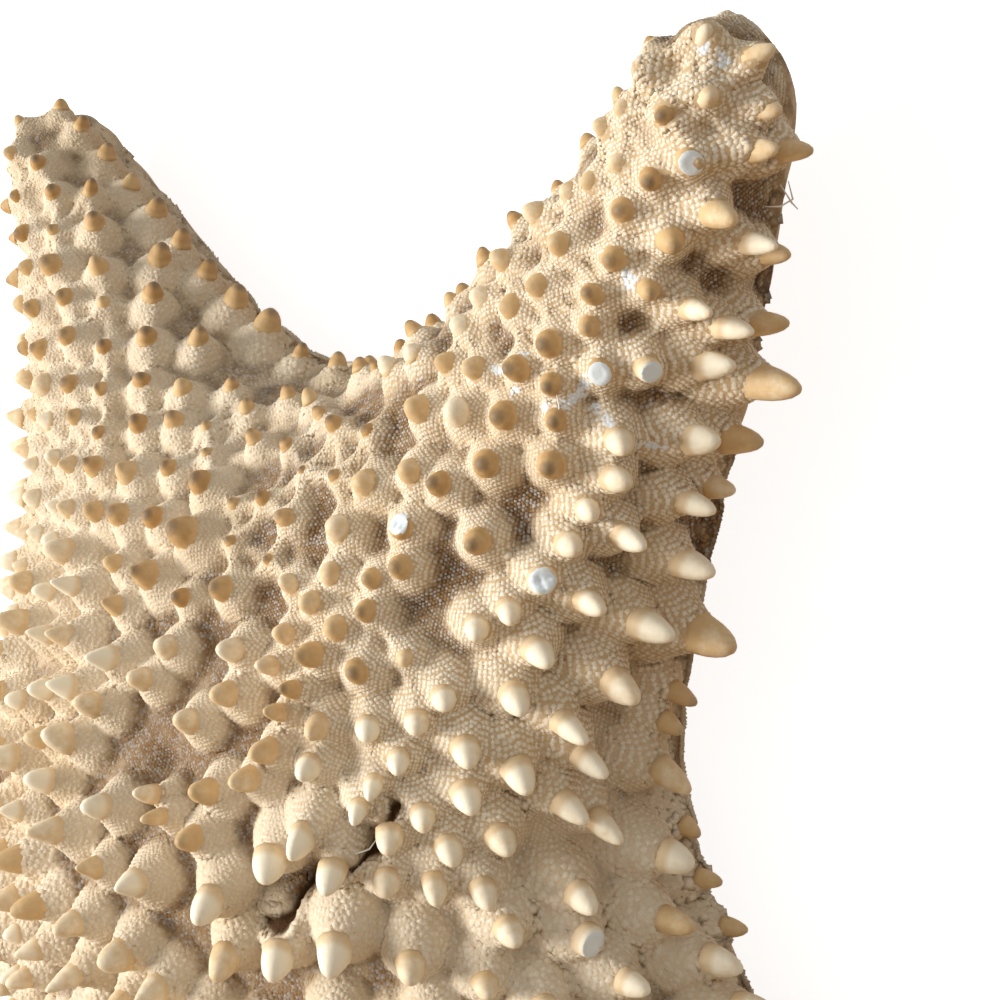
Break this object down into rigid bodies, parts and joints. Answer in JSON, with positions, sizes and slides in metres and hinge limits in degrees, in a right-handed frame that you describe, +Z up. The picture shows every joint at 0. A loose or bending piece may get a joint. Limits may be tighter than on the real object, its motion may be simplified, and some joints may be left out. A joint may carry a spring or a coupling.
{
  "type": "dried starfish",
  "caption": "Dried knobby starfish with blunt tapering arms, a thick domed disc set with conical spines, and a flat underside with a mouth and open grooves.",
  "frame": {"origin": "centre of the bounding box in plan, on the flat underside that the starfish rests on", "axes": "+Z up through the domed upper side; +Y along the arm that lifts the most at its end; +X to the right of that arm seen from above"},
  "size_m": [0.2006, 0.2012, 0.0431],
  "materials": {
    "dried_skin": "matt, granular, sandy tan with paler spine tips"
  },
  "bodies": {
    "root": {"starfish": "dried_skin"}
  },
  "joints": []
}
